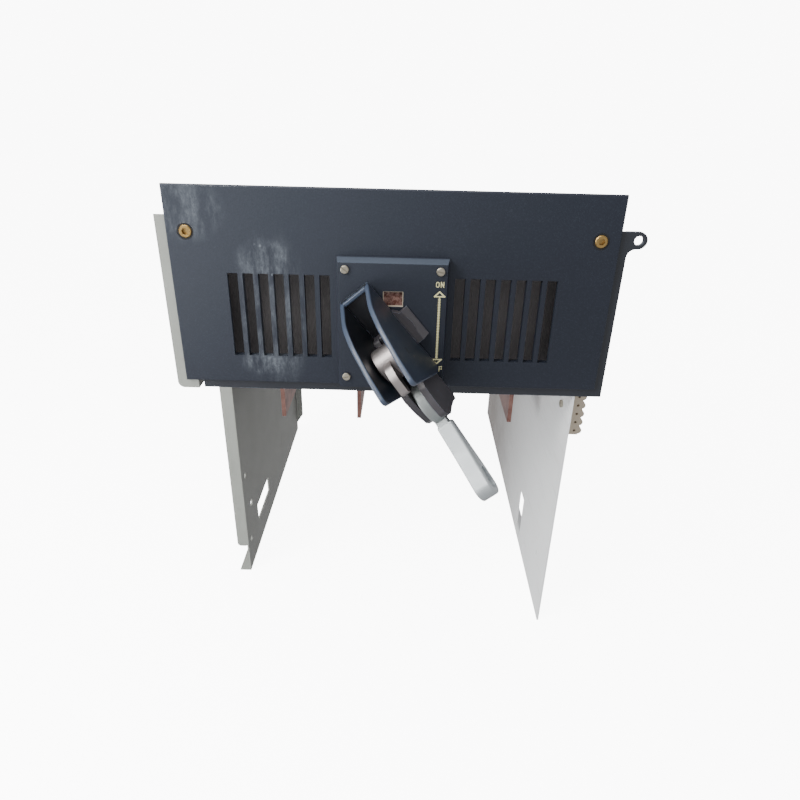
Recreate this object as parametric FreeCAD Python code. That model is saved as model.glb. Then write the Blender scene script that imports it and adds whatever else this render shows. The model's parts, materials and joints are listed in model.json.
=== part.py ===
import FreeCAD, Part
import math
import os

# Front-operated four-pole switch-disconnector on two steel side plates.
#
# Millimetres. +Z is up, +X is to the operator's right, and the operator looks along +Y.
# The origin is the centre of the four floor-bolt holes, on the floor.

V = FreeCAD.Vector
X_AXIS = V(1, 0, 0)
Y_AXIS = V(0, 1, 0)
Z_AXIS = V(0, 0, 1)

# ---------------------------------------------------------------- driving dimensions
# overall places
cover_width = 500.0
cover_height = 229.5
cover_base_z = 390.0           # height of the cover's lower edge above the floor
front_to_feet = 380.0          # cover face to the middle of the foot bolts
front_y = -front_to_feet
cover_half = cover_width / 2

# front cover
cover_thickness = 5.0
cover_edge_bevel = 1.2
grille_inner_x = 71.0
grille_bottom = 34.7
grille_height = 100.0
slot_count = 7
slot_pitch = 17.4
slot_width = 11.7
rib_depth = 9.0                # grille bars stand this far back from the cover face
pad_margin = 3.0               # the thick pad behind a grille is this much taller at each end

# captive quarter-turn screws
captive_x = cover_half - 21.6
captive_up = cover_height - 49.5
captive_head_r = 7.0
captive_head_depth = 3.2
captive_proud = 1.0
captive_bevel = 0.8
captive_shank_r = 4.0
captive_length = 16.0
captive_hex_r = 3.9
captive_clearance = 0.4
captive_nib_half = 6.5
captive_nib_height = 3.0
grommet_wall = 1.9
grommet_sunk = 0.4

# frame behind the cover
frame_thickness = 3.4
frame_left_x = -cover_half + 19.6
frame_step = 5.5               # above the lower band the frame is this much wider on the left
frame_right_x = cover_half + 10.0
frame_bottom_drop = 11.0
frame_band_top = 5.0
frame_top_up = cover_height - 29.5
frame_sill_up = 12.0
frame_window_margin = 14.4
frame_tab_depth = 34.0
frame_tab_thickness = 2.5
frame_tab_bottom_up = 14.0
frame_tab_top_up = 116.0
tab_bolt_back = 28.0
side_bolt_ups = [30.0, 100.0]
ear_hole_x = cover_half + 21.0
ear_hole_up = cover_height - 48.5
ear_hole_r = 5.2
ear_radius = 9.5
ear_thickness = 5.0
ear_drop = 26.0
ear_flare = 4.0

# insulating shield behind the cover
shield_thickness = 2.0
shield_bottom_up = 4.0
shield_top_up = cover_height - 39.5
shield_hole_gap = 4.0

# side plates
sheet = 2.5
left_web_x = -cover_half + 24.0     # inner face of the left web
right_web_x = cover_half - 23.0     # inner face of the right web
left_front_back = 100.0        # left plate's front flange, behind the cover face
right_front_back = 8.4
foot_hole_spacing_x = cover_width - 27.0
foot_hole_spacing_y = 360.0
foot_end_margin = 20.0         # from the rear foot hole to the left plate's rear edge
right_plate_extra = 105.0      # the right plate reaches this much further back
plate_top_up = 126.0           # plates' top edge above the cover's lower edge
left_flange = 17.7
foot_flange = 17.6
left_rear_flange = 13.0
right_rear_flange = 16.0
rear_flange_rise = 38.0        # the rear flanges stop this far above the floor
rear_flange_slant = 24.0
foot_front_back = 70.0         # right foot flange starts this far behind the cover face
foot_hole_r = 3.6
front_flange_gap = 50.0        # the left front flange stops this far above the floor
front_flange_top_drop = 10.0   # and this far below the cover's lower edge
bend_radius = 6.0
# round holes in the left web: distance behind the cover face, height, radius
left_web_holes = [(120.0, 172.0, 5.0), (140.0, 107.0, 6.0), (120.0, 50.0, 4.5)]
# square slots in the webs: distances behind the cover face, heights
left_web_slot = (175.0, 262.0, 46.0, 76.0)
right_web_slot = (189.0, 225.0, 19.0, 91.0)
slit_places = [(65.0, 113.0), (65.0, 82.0), (154.0, 17.0)]
slit_half_width = 1.6
slit_half_height = 7.0

# left bracket
bracket_outer_x = -cover_half - 13.0
bracket_inner_x = -cover_half + 13.0
bracket_bottom_drop = 12.6
bracket_top_up = cover_height - 33.0
bracket_side_top_up = 118.0
bracket_depth = 62.0
bracket_corner = 8.0
bracket_bolt_back = 53.0
spacer_r = 7.0

# rails and insulating base
rail_front_back = 114.0
rail_rear_back = 424.0
rail_side = 20.0               # square bars, tapped at both ends
rail_thread_length = 14.0
base_thickness = 12.0
base_front_back = 112.0
base_rear_back = 466.0
base_groove = 4.0              # depth of the grooves that the rear bars lie in
fit_gap = 0.4                  # side gap where a board or rail stands between the plates

# bolts
screw_r = 3.0
bolt_head_height = 4.0
bolt_head_r = 5.8
nut_height = 5.0
thread_end = 1.5

# poles
pole_count = 4
pole_pitch = (right_web_x - left_web_x) / pole_count
pole_centre_x = 7.0
blade_thickness = 6.0
front_blade_front_back = 140.0
front_blade_top_up = 40.0
blade_drop = 122.0
post_depth = 44.0
post_slope = 12.0
rotor_back = 285.0
rotor_up = 72.0                # rotor and handle axis height above the cover's lower edge
contact_reach = 55.0
contact_width = 18.0
contact_thickness = 4.0
contact_gap = 0.4
contact_overlap = 20.0
post_top_above_axis = 14.0
rear_terminal_back = 494.0
palm_width = 32.0              # palm that the cable lug is bolted to
palm_top_up = 62.0
palm_hole_up = 40.0
terminal_hole_r = 6.5

# rotor
rotor_r = 17.0
rotor_stub_r = 8.0
rotor_stub_depth = 11.0
rotor_end_gap = 4.0
running_fit = 0.05
bearing_width = 10.0
bearing_flange_r = 19.0

# arc chutes
chute_cheek = 2.5
chute_side_gap = 3.125         # between a chute and the bay barrier beside it
chute_length = 84.0
chute_front_gap = 3.0
chute_gate_up = 66.0
arc_plate_count = 9
arc_plate_thickness = 1.5
arc_plate_gap = 4.0
arc_plate_top_gap = 3.0

# barriers and mechanism bay
barrier_thickness = 2.0
barrier_height = 118.0
barrier_inset = 4.0
barrier_hole_gap = 3.0
bay_gap = 2.5
gear_start = rotor_r + 1.5     # small ends of the mitre gears, from where the axes cross
gear_face = 9.0
gear_gap = 0.5
gear_hub_length = 8.0
gear_hub_r = rotor_r + 5.0
gear_teeth = 20
groove_width = 3.4
groove_depth = 2.2
drive_shaft_r = 8.0
gear_bracket_back = 232.0
gear_bracket_sheet = 3.0
gear_bracket_foot = 26.0
gear_bracket_inset = 6.0
gear_bracket_rise = 30.0
bush_wall = 3.0
front_bush_length = 14.0
rear_bush_length = 8.0

# escutcheon
escutcheon_width = 127.0
escutcheon_height = 155.5
escutcheon_centre_x = 0.7
escutcheon_bottom_up = 2.2
escutcheon_depth = 18.5
escutcheon_draft = 3.2
escutcheon_wall = 3.0
escutcheon_post_wall = 2.6
window_width = 22.6
window_height = 17.8
window_centre_x = 1.5
window_up = 114.7
window_frame_wall = 0.8
window_frame_sunk = 0.8
plate_screw_dx = 105.2
plate_screw_dz = 128.2
plate_screw_up = 83.0
plate_screw_head_r = 4.7
plate_screw_head_height = 2.6
plate_screw_round = 1.1
plate_screw_shank_r = 2.5
slot_cut_half = 0.65
slot_cut_depth = 1.2
indicator_r = 54.0
indicator_thickness = 1.6
indicator_v = 8.0
mark_height = 0.5
letter_height = 5.5
letter_width = 2.9
letter_gap = 2.3
letter_stroke = 1.0
on_up = 129.9
off_up = 28.8
arrow_top_up = 124.5
arrow_bottom_up = 38.0
arrow_half_width = 5.6
arrow_length = 5.4
arrow_stroke = 1.5
arrow_shaft = 1.1
tick_pitch = 1.9
tick_half = 1.0
tick_stroke = 0.9

# handle: places are (along, out) from the hub; the grip's own axes are raked outward
handle_rest_deg = -50.0        # lever direction below horizontal, to the right
rake_deg = 32.0                # the grip leans out from the panel by this much
hub_half = 36.0
hub_near = 17.0
hub_far = 24.0
hub_disc_r = 31.0
hub_bevel = 7.0
hub_edge = 2.0
hub_depth = 9.0
hub_lift = 1.0                 # air between the hub and the escutcheon face
neck_r = 20.0
neck_gap = 3.0
neck_base_v = 6.0
shaft_end = 6.0                # the drive shaft ends this far inside the handle
hood_half_width = 20.5
hood_tail_u = -65.0
hood_wall = 5.6
hood_rim_round = 2.0
hood_lip_width = 5.2           # low lip that closes the hood's floor at the tail
hood_lip_height = 4.5
hood_lip_round = 1.8
fork_half_width = 14.6
fork_slot_half = 7.2
lug_r = 27.0
lug_half_width = 6.5
lug_round = 2.5
lever_pivot_g = 100.0
lever_pivot_n = 30.0
lever_half_width = 9.5
lever_shift = 0.9              # the grip stands this much to one side of the lug
lever_root_g = 130.0
lever_end_g = 223.5
lever_edge_round = 2.6
latch_g = 50.0
latch_n = 72.0
latch_r = 20.0
latch_half_width = 12.6
latch_round = 1.5
latch_bar_half = 4.3
latch_gap = 1.0
latch_pin_r = 4.0
lever_pin_r = 4.0

# terminal strip
strip_ways = 8
strip_pitch = 12.4
strip_centre_back = 50.0
strip_width_y = 26.0
strip_depth_x = 20.0
strip_bottom_drop = 83.0
strip_lobe_r = 4.9
strip_wire_r = 1.7
strip_head_r = 2.6
strip_head_inset = 7.0
strip_head_depth = 5.0
strip_fixing_ways = [3.15, 6.85]
strip_screw_head_r = 5.2
strip_screw_head_height = 3.0
strip_screw_grip = 8.0

os.makedirs("parts", exist_ok=True)


# ---------------------------------------------------------------- helpers
def back(distance):
    """Y of a place this far behind the cover's face."""
    return front_y + distance


def up(height):
    """Z of a place this far above the cover's lower edge."""
    return cover_base_z + height


def box(x0, x1, y0, y1, z0, z1):
    """Axis-aligned block between two corners."""
    return Part.makeBox(x1 - x0, y1 - y0, z1 - z0, V(x0, y0, z0))


def rod(radius, length, start, direction):
    """Round bar from a start point along a direction."""
    return Part.makeCylinder(radius, length, start, direction)


def through_hole(radius, centre, direction):
    """Cutter for a hole right through whatever stands at a place."""
    reach = 4 * sheet
    return rod(radius, 2 * reach, centre - direction * reach, direction)


def prism(points, direction):
    """Solid swept from a closed outline of points."""
    wire = Part.makePolygon(points + [points[0]])
    return Part.Face(wire).extrude(direction)


def hexagon(radius):
    """Six points round the X axis."""
    turns = [math.radians(60 * i) for i in range(6)]
    return [V(0, radius * math.cos(a), radius * math.sin(a)) for a in turns]


def rounded_box(x0, x1, y0, y1, z0, z1, radius, axis):
    """Block whose four edges along one axis are rounded."""
    block = box(x0, x1, y0, y1, z0, z1)
    edges = [e for e in block.Edges if abs(e.tangentAt(e.FirstParameter).dot(axis)) > 0.99]
    return block.makeFillet(radius, edges)


def save(name, shapes):
    """Write one node; several shapes stay separate solids in it."""
    shape = shapes if not isinstance(shapes, list) else Part.makeCompound(shapes)
    shape.exportStep("parts/" + name + ".step")


def pole_x(index):
    """X of one pole's middle, counted from the left."""
    return pole_centre_x + (index - (pole_count - 1) / 2.0) * pole_pitch


def rounded_face(corners, place):
    """Face with tangent arcs at its corners; corners are (a, b, radius), place maps (a, b) to a point."""
    spots = [place(a, b) for a, b, radius in corners]
    arcs = []
    for i, (a, b, radius) in enumerate(corners):
        spot = spots[i]
        before = spots[i - 1] - spot
        after = spots[(i + 1) % len(spots)] - spot
        before.normalize()
        after.normalize()
        half = before.getAngle(after) / 2
        reach = radius / math.tan(half)
        inward = before + after
        inward.normalize()
        middle = spot + inward * (radius / math.sin(half) - radius)
        arcs.append((spot + before * reach, middle, spot + after * reach, radius))
    edges = []
    for i, (start, middle, end, radius) in enumerate(arcs):
        if radius > 0:
            edges.append(Part.Arc(start, middle, end).toShape())
        edges.append(Part.LineSegment(end, arcs[(i + 1) % len(arcs)][0]).toShape())
    return Part.Face(Part.Wire(edges))


# ---------------------------------------------------------------- handle frame
hub_point = V(0, front_y, up(rotor_up))


def handle_to_world(shape):
    """Turn a shape from handle axes (along lever, across, out of the panel) into place."""
    placed = shape.copy()
    placed.rotate(V(0, 0, 0), X_AXIS, 90)
    placed.rotate(V(0, 0, 0), Y_AXIS, -handle_rest_deg)
    placed.translate(hub_point)
    return placed


def grip_to_world(shape):
    """The same for a shape drawn along the raked grip."""
    placed = shape.copy()
    placed.rotate(V(0, 0, 0), Y_AXIS, -rake_deg)
    return handle_to_world(placed)


def side_profile(corners, low, high):
    """Outline with rounded corners in the (along, out) plane, from low to high across."""
    face = rounded_face(corners, lambda along, out: V(along, low, out))
    return face.extrude(V(0, high - low, 0))


def cross_rod(radius, along, out):
    """Cutter across the whole handle."""
    reach = 2 * hood_half_width
    return rod(radius, 2 * reach, V(along, -reach, out), Y_AXIS)


def grip_to_handle(along, out):
    """(along, out) of a place given on the raked grip axes."""
    rake = math.radians(rake_deg)
    u = along * math.cos(rake) - out * math.sin(rake)
    v = along * math.sin(rake) + out * math.cos(rake)
    return u, v


# ---------------------------------------------------------------- places worked out once
frame_front = back(cover_thickness)
frame_rear = back(cover_thickness + frame_thickness)
tab_rear = frame_rear + frame_tab_depth
left_rear_back = front_to_feet + foot_hole_spacing_y / 2 + foot_end_margin
right_rear_back = left_rear_back + right_plate_extra
left_web_out = left_web_x - sheet
right_web_out = right_web_x + sheet
inside_left = left_web_x + fit_gap
inside_right = right_web_x - fit_gap
plate_top = up(plate_top_up)
base_bottom = up(0)
base_top = up(base_thickness)
axis_y = back(rotor_back)
axis_z = up(rotor_up)
contact_inner = blade_thickness / 2 + contact_gap
contact_outer = contact_inner + contact_thickness
post_gap = contact_reach - contact_overlap
grille_width = (slot_count - 1) * slot_pitch + slot_width
hood_inner = hood_half_width - hood_wall
face_y = front_y - escutcheon_depth
hub_bottom_v = escutcheon_depth + hub_lift
hub_top_v = hub_bottom_v + hub_depth
bay_left_x = -(gear_start + gear_face + bay_gap)
bay_right_x = gear_start + gear_face + gear_hub_length + bay_gap
chute_half = bay_left_x - barrier_thickness / 2 - pole_x(1) - chute_side_gap
chute_inner_half = chute_half - chute_cheek


# ---------------------------------------------------------------- side plates and bracket
def web(outline, x0, x1):
    """Flat sheet between two X planes from a (Y, Z) outline."""
    return prism([V(x0, y, z) for y, z in outline], V(x1 - x0, 0, 0))


def web_slot(limits, x):
    """Square-ended cutter through a web standing at x; limits are two distances back and two heights."""
    near, far, low, high = limits
    return box(x - 2 * sheet, x + 2 * sheet, back(near), back(far), low, high)


def rear_flange(web_side, lip_side, rear):
    """Lip along a web's rear edge, cut on the slant above the floor."""
    outline = [(web_side, rear_flange_rise - rear_flange_slant), (lip_side, rear_flange_rise)]
    outline += [(lip_side, plate_top), (web_side, plate_top)]
    return prism([V(x, rear - sheet, z) for x, z in outline], V(0, sheet, 0))


def make_left_side_plate():
    """Left web with an outward front lip, an outward foot and an inward rear lip."""
    front = back(left_front_back)
    rear = back(left_rear_back)
    outline = [(front, 0), (rear, 0), (rear, plate_top), (frame_rear, plate_top)]
    outline += [(frame_rear, up(0)), (front, up(0))]
    plate = web(outline, left_web_out, left_web_x)
    lip = rounded_box(left_web_x - left_flange, left_web_x, front, front + sheet, front_flange_gap,
                      up(-front_flange_top_drop), bend_radius, Y_AXIS)
    foot = box(left_web_x - foot_flange, left_web_x, front, rear, 0, sheet)
    rear_lip = rear_flange(left_web_out, left_web_x + left_rear_flange, rear)
    plate = plate.fuse([lip, foot, rear_lip])
    for distance, height, radius in left_web_holes:
        plate = plate.cut(through_hole(radius, V(left_web_x, back(distance), height), X_AXIS))
    for height in side_bolt_ups:
        place = V(left_web_x, back(bracket_bolt_back), up(height))
        plate = plate.cut(through_hole(screw_r, place, X_AXIS))
    plate = plate.cut(web_slot(left_web_slot, left_web_x))
    return drill_sides(plate, left_web_x)


def make_right_side_plate():
    """Right web, reaching forward to the frame, with an outward foot and an outward rear lip."""
    front = back(right_front_back)
    rear = back(right_rear_back)
    outline = [(front, 0), (rear, 0), (rear, plate_top), (front, plate_top)]
    plate = web(outline, right_web_x, right_web_out)
    foot = box(right_web_x, right_web_x + foot_flange, back(foot_front_back), rear, 0, sheet)
    rear_lip = rear_flange(right_web_x, right_web_out + right_rear_flange, rear)
    plate = plate.fuse([foot, rear_lip])
    plate = plate.cut(web_slot(right_web_slot, right_web_x))
    for distance, height in slit_places:
        slit = (distance - slit_half_width, distance + slit_half_width,
                height - slit_half_height, height + slit_half_height)
        plate = plate.cut(web_slot(slit, right_web_x))
    for height in strip_screw_ups():
        plate = plate.cut(through_hole(screw_r, V(right_web_x, back(strip_centre_back), up(height)), X_AXIS))
    return drill_sides(plate, right_web_x)


def rail_middles():
    """Y of the two rails' middles."""
    return [back(rail_front_back + rail_side / 2), back(rail_rear_back + rail_side / 2)]


def strip_screw_ups():
    """Heights of the terminal strip's two fixing screws."""
    return [ways * strip_pitch - strip_bottom_drop for ways in strip_fixing_ways]


def drill_sides(plate, x):
    """Holes that both webs share: foot bolts, rails and frame tabs."""
    for y in (-foot_hole_spacing_y / 2, foot_hole_spacing_y / 2):
        for side in (-foot_hole_spacing_x / 2, foot_hole_spacing_x / 2):
            plate = plate.cut(through_hole(foot_hole_r, V(side, y, 0), Z_AXIS))
    for y in rail_middles():
        plate = plate.cut(through_hole(screw_r, V(x, y, up(-rail_side / 2)), X_AXIS))
    for height in side_bolt_ups:
        plate = plate.cut(through_hole(screw_r, V(x, back(tab_bolt_back), up(height)), X_AXIS))
    return plate


def make_left_bracket():
    """Grey angle that shows beside the cover and ties it to the left plate."""
    bottom = up(-bracket_bottom_drop)
    leg = box(bracket_outer_x, bracket_inner_x, frame_front, frame_front + sheet, bottom, up(bracket_top_up))
    corner = [e for e in leg.Edges
              if abs(e.tangentAt(e.FirstParameter).dot(Y_AXIS)) > 0.99
              and e.CenterOfMass.x < bracket_inner_x - 1 and e.CenterOfMass.z < bottom + 1]
    leg = leg.makeFillet(bracket_corner, corner)
    side_leg = box(bracket_inner_x - sheet, bracket_inner_x, frame_front,
                   frame_front + bracket_depth, bottom, up(bracket_side_top_up))
    bracket = leg.fuse(side_leg)
    for height in side_bolt_ups:
        place = V(bracket_inner_x - 3 * sheet, back(bracket_bolt_back), up(height))
        bracket = bracket.cut(rod(screw_r, 4 * sheet, place, X_AXIS))
    return bracket


def make_bracket_spacers():
    """Tubes between the bracket and the left web."""
    tubes = []
    length = left_web_out - bracket_inner_x
    for height in side_bolt_ups:
        start = V(bracket_inner_x, back(bracket_bolt_back), up(height))
        tubes.append(rod(spacer_r, length, start, X_AXIS).cut(rod(screw_r, length, start, X_AXIS)))
    return tubes


def place_bolt(bolt, head_point, direction):
    """Put a bolt drawn along +X at a point, along a direction."""
    bolt.Placement = FreeCAD.Placement(head_point, FreeCAD.Rotation(X_AXIS, direction))
    return bolt


def nut_bolt(head_point, direction, grip):
    """Bolt with a hexagon head at one end and a nut at the other."""
    head = prism(hexagon(bolt_head_r), V(-bolt_head_height, 0, 0))
    nut = prism([p + V(grip, 0, 0) for p in hexagon(bolt_head_r)], V(nut_height, 0, 0))
    shank = rod(screw_r, grip + nut_height + thread_end, V(0, 0, 0), X_AXIS)
    return place_bolt(head.fuse([nut, shank]), head_point, direction)


def head_bolt(head_point, direction, length):
    """Bolt with a hexagon head that screws into a tapped hole."""
    head = prism(hexagon(bolt_head_r), V(-bolt_head_height, 0, 0))
    return place_bolt(head.fuse(rod(screw_r, length, V(0, 0, 0), X_AXIS)), head_point, direction)


def make_bracket_bolts():
    """Two bolts through the bracket, the spacers and the left web."""
    start = bracket_inner_x - sheet
    grip = left_web_x - start
    return [nut_bolt(V(start, back(bracket_bolt_back), up(height)), X_AXIS, grip) for height in side_bolt_ups]


# ---------------------------------------------------------------- frame behind the cover
def make_cover_frame():
    """Frame behind the cover: a ring of bars, the lower band, two tabs and the padlock ear."""
    band_top = up(frame_band_top)
    plate = box(frame_left_x - frame_step, cover_half, frame_front, frame_rear, band_top, up(frame_top_up))
    lower = box(frame_left_x, frame_right_x, frame_front, frame_rear, up(-frame_bottom_drop), band_top)
    right = box(cover_half, frame_right_x, frame_front, frame_rear, band_top, up(ear_hole_up + ear_radius))
    opening_half = captive_x - frame_window_margin
    opening_top = grille_bottom + grille_height + 2 * pad_margin
    opening = box(-opening_half, opening_half, frame_front - 1, frame_rear + 1,
                  up(frame_sill_up), up(opening_top))
    frame = plate.fuse([lower, right]).cut(opening)
    frame = frame.fuse(make_ear())
    for x0 in (inside_left, inside_right - frame_tab_thickness):
        tab = box(x0, x0 + frame_tab_thickness, frame_front, tab_rear,
                  up(frame_tab_bottom_up), up(frame_tab_top_up))
        for height in side_bolt_ups:
            tab = tab.cut(through_hole(screw_r, V(x0, back(tab_bolt_back), up(height)), X_AXIS))
        frame = frame.fuse(tab)
    for side in (-1, 1):
        place = V(side * captive_x, frame_front, up(captive_up))
        frame = frame.cut(through_hole(captive_shank_r + captive_clearance, place, Y_AXIS))
    return frame.removeSplitter()


def make_ear():
    """Padlock ear: a rounded tongue with a hole, flared into the frame below."""
    centre = V(ear_hole_x, frame_front, up(ear_hole_up))
    tongue = rod(ear_radius, ear_thickness, centre, Y_AXIS)
    top = ear_hole_up + ear_radius
    low = ear_hole_up - ear_radius
    inner = frame_right_x - ear_flare
    flare = [(inner, top, 0), (ear_hole_x, top, 0), (ear_hole_x, low, 0)]
    flare += [(frame_right_x, low, ear_radius), (frame_right_x, low - ear_drop, 0)]
    flare += [(inner, low - ear_drop, 0)]
    face = rounded_face(flare, lambda x, height: V(x, frame_front, up(height)))
    body = face.extrude(V(0, ear_thickness, 0))
    return body.fuse(tongue).cut(through_hole(ear_hole_r, centre, Y_AXIS))


def make_inner_shield():
    """Insulating sheet across the frame's tabs, between the grilles and the live parts."""
    shield = box(inside_left, inside_right, tab_rear, tab_rear + shield_thickness,
                 up(shield_bottom_up), up(shield_top_up))
    return shield.cut(through_hole(drive_shaft_r + shield_hole_gap, V(0, tab_rear, axis_z), Y_AXIS))


def make_tab_bolts():
    """Four bolts that hold the frame's tabs to the two webs."""
    bolts = []
    grip = sheet + fit_gap + frame_tab_thickness
    for height in side_bolt_ups:
        bolts.append(nut_bolt(V(left_web_out, back(tab_bolt_back), up(height)), X_AXIS, grip))
        bolts.append(nut_bolt(V(right_web_out, back(tab_bolt_back), up(height)), -X_AXIS, grip))
    return bolts


def make_rail(middle):
    """Square steel bar across the plates, tapped at both ends."""
    half = rail_side / 2
    rail = box(inside_left, inside_right, middle - half, middle + half, up(-rail_side), base_bottom)
    depth = sheet + fit_gap + rail_thread_length
    for start, direction in ((left_web_out, X_AXIS), (right_web_out, -X_AXIS)):
        rail = rail.cut(rod(screw_r, depth, V(start, middle, up(-half)), direction))
    return rail


def make_rail_bolts():
    """Four bolts through the webs into the rail ends."""
    bolts = []
    length = sheet + fit_gap + rail_thread_length
    for y in rail_middles():
        bolts.append(head_bolt(V(left_web_out, y, up(-rail_side / 2)), X_AXIS, length))
        bolts.append(head_bolt(V(right_web_out, y, up(-rail_side / 2)), -X_AXIS, length))
    return bolts


# ---------------------------------------------------------------- front cover
def grille_start(side):
    """X of the left edge of the grille on one side."""
    return side * (grille_inner_x + grille_width / 2) - grille_width / 2


def make_front_cover():
    """Moulded cover plate with two slotted grilles and deep bars."""
    slab = box(-cover_half, cover_half, front_y, frame_front, up(0), up(cover_height))
    rim = [e for e in slab.Edges if abs(e.CenterOfMass.y - front_y) < 0.01]
    slab = slab.makeChamfer(cover_edge_bevel, rim)
    grille_top = grille_bottom + grille_height
    cuts = []
    for side in (-1, 1):
        x0 = grille_start(side)
        pad = box(x0, x0 + grille_width, frame_front, back(rib_depth),
                  up(grille_bottom - pad_margin), up(grille_top + pad_margin))
        slab = slab.fuse(pad)
        for i in range(slot_count):
            left = x0 + i * slot_pitch
            cuts.append(box(left, left + slot_width, front_y - 1, back(rib_depth + 1),
                            up(grille_bottom), up(grille_top)))
        centre = V(side * captive_x, front_y - 1, up(captive_up))
        recess_r = captive_head_r + captive_clearance + grommet_wall
        cuts.append(rod(recess_r, captive_head_depth + 1, centre, Y_AXIS))
        cuts.append(through_hole(captive_shank_r + captive_clearance, centre, Y_AXIS))
    cuts.append(through_hole(drive_shaft_r + bush_wall, V(0, front_y, axis_z), Y_AXIS))
    for x, z in plate_screw_places():
        cuts.append(through_hole(plate_screw_shank_r, V(x, front_y, z), Y_AXIS))
    return slab.cut(cuts).removeSplitter()


def make_cover_screw(side):
    """Brass captive quarter-turn screw with a six-sided socket."""
    centre = V(side * captive_x, back(captive_head_depth), up(captive_up))
    head_length = captive_head_depth + captive_proud
    head_face = centre.y - head_length
    head = rod(captive_head_r, head_length, centre, -Y_AXIS)
    front_edge = [e for e in head.Edges if abs(e.CenterOfMass.y - head_face) < 0.01]
    head = head.makeChamfer(captive_bevel, front_edge)
    shank = rod(captive_shank_r, captive_length, centre, Y_AXIS)
    nib_rear = centre.y + captive_length
    nib = box(centre.x - captive_nib_half, centre.x + captive_nib_half, nib_rear - captive_nib_height,
              nib_rear, centre.z - captive_nib_height / 2, centre.z + captive_nib_height / 2)
    ring = [V(centre.x + p.y, head_face - 1, centre.z + p.z) for p in hexagon(captive_hex_r)]
    socket = prism(ring, V(0, head_length, 0))
    return head.fuse([shank, nib]).cut(socket)


def make_grommets():
    """Dark retaining rings around the captive screws."""
    rings = []
    bore = captive_head_r + captive_clearance
    for side in (-1, 1):
        centre = V(side * captive_x, back(grommet_sunk), up(captive_up))
        outer = rod(bore + grommet_wall, captive_head_depth - grommet_sunk, centre, Y_AXIS)
        rings.append(outer.cut(rod(bore, captive_head_depth, centre, Y_AXIS)))
    return rings


# ---------------------------------------------------------------- escutcheon
def plate_screw_places():
    """(X, Z) of the escutcheon's four screws."""
    places = []
    for dz in (plate_screw_dz / 2, -plate_screw_dz / 2):
        for dx in (-plate_screw_dx / 2, plate_screw_dx / 2):
            places.append((escutcheon_centre_x + dx, up(plate_screw_up) + dz))
    return places


def escutcheon_block(inset, depth):
    """Tapered block on the cover face, narrowed all round by an inset."""
    half = escutcheon_width / 2 - inset
    x0 = escutcheon_centre_x - half
    x1 = escutcheon_centre_x + half
    z0 = up(escutcheon_bottom_up) + inset
    z1 = up(escutcheon_bottom_up + escutcheon_height) - inset
    draft = escutcheon_draft * depth / escutcheon_depth
    return Part.makeWedge(x0 + draft, front_y - depth, z0 + draft, z0, x0,
                          x1 - draft, front_y, z1 - draft, z1, x1)


def window_block(grow, y0, y1):
    """Block of the indicator window's outline, grown all round."""
    half_w = window_width / 2 + grow
    half_h = window_height / 2 + grow
    return box(window_centre_x - half_w, window_centre_x + half_w, y0, y1,
               up(window_up) - half_h, up(window_up) + half_h)


def make_escutcheon():
    """Hollow moulded plate round the handle, with the indicator window."""
    outer = escutcheon_block(0, escutcheon_depth)
    hollow = escutcheon_block(escutcheon_wall, escutcheon_depth - escutcheon_wall)
    shell = outer.cut(hollow)
    post_r = plate_screw_shank_r + escutcheon_post_wall
    posts = [rod(post_r, escutcheon_depth - 1, V(x, face_y + 1, z), Y_AXIS) for x, z in plate_screw_places()]
    shell = shell.fuse(posts)
    bore_length = escutcheon_depth + 2
    cuts = []
    for x, z in plate_screw_places():
        cuts.append(rod(plate_screw_shank_r, bore_length, V(x, face_y - 1, z), Y_AXIS))
    cuts.append(rod(neck_r + neck_gap, 2 * escutcheon_wall, V(0, face_y - 1, axis_z), Y_AXIS))
    cuts.append(window_block(0, face_y - 1, face_y + 2 * escutcheon_wall))
    return shell.cut(cuts)


def make_window_frame():
    """Pale insert lining the indicator window."""
    outer = window_block(0, face_y + window_frame_sunk, face_y + escutcheon_wall)
    inner = window_block(-window_frame_wall, face_y, face_y + 2 * escutcheon_wall)
    return outer.cut(inner)


def slotted_head(radius, height, rounding, turn):
    """Pan head on +Z from the origin with a straight slot turned by an angle."""
    head = rod(radius, height, V(0, 0, 0), Z_AXIS)
    rim = [e for e in head.Edges if abs(e.CenterOfMass.z - height) < 0.01]
    head = head.makeFillet(rounding, rim)
    slot = box(-2 * radius, 2 * radius, -slot_cut_half, slot_cut_half, height - slot_cut_depth, height + 1)
    slot.rotate(V(0, 0, 0), Z_AXIS, turn)
    return head.cut(slot)


def make_escutcheon_screws():
    """Four slotted pan-head screws, left at different turns."""
    screws = []
    for number, (x, z) in enumerate(plate_screw_places()):
        head = slotted_head(plate_screw_head_r, plate_screw_head_height, plate_screw_round, 25 * number - 35)
        head.rotate(V(0, 0, 0), X_AXIS, 90)
        head.translate(V(x, face_y, z))
        shank = rod(plate_screw_shank_r, escutcheon_depth + cover_thickness, V(x, face_y, z), Y_AXIS)
        screws.append(head.fuse(shank))
    return screws


# ---------------------------------------------------------------- marks on the escutcheon
def stroke(points, width):
    """Raised strokes along a list of (X, Z) points, standing on the escutcheon face."""
    bars = []
    for (x0, z0), (x1, z1) in zip(points, points[1:]):
        length = math.hypot(x1 - x0, z1 - z0)
        angle = math.degrees(math.atan2(z1 - z0, x1 - x0))
        bar = box(-width / 2, length + width / 2, -mark_height, 0, -width / 2, width / 2)
        bar.rotate(V(0, 0, 0), Y_AXIS, -angle)
        bar.translate(V(x0, face_y, z0))
        bars.append(bar)
    return bars[0].fuse(bars[1:]) if len(bars) > 1 else bars[0]


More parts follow.
